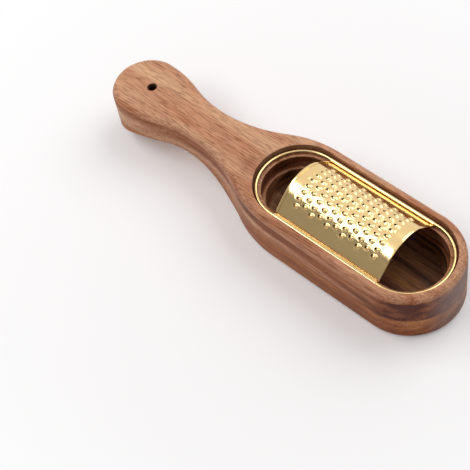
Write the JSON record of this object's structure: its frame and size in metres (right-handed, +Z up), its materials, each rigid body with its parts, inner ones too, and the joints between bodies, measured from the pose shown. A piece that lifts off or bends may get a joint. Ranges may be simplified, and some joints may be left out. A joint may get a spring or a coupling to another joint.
{
  "type": "cheese grater",
  "caption": "Two-board wooden handle and stepped tray with a lift-out arched brass grating sheet on a wire loop.",
  "frame": {"origin": "on the supporting surface, under the middle of the whole length", "axes": "+X from the handle to the tray, +Y across, +Z up, out of the tray"},
  "size_m": [0.292, 0.072, 0.0543],
  "materials": {
    "heartwood": "oiled, satin",
    "sapwood": "oiled, satin",
    "brass_wire": "polished",
    "brass_sheet": "polished"
  },
  "bodies": {
    "body": {"upper_board": "heartwood", "lower_board": "sapwood"},
    "insert": {"wire_loop": "brass_wire", "grater_sheet": "brass_sheet"}
  },
  "joints": [
    {"name": "insert_lift", "type": "slide", "parent": "body", "child": "insert", "axis": [0, 0, 1], "range_m": [0, 0.06]}
  ]
}
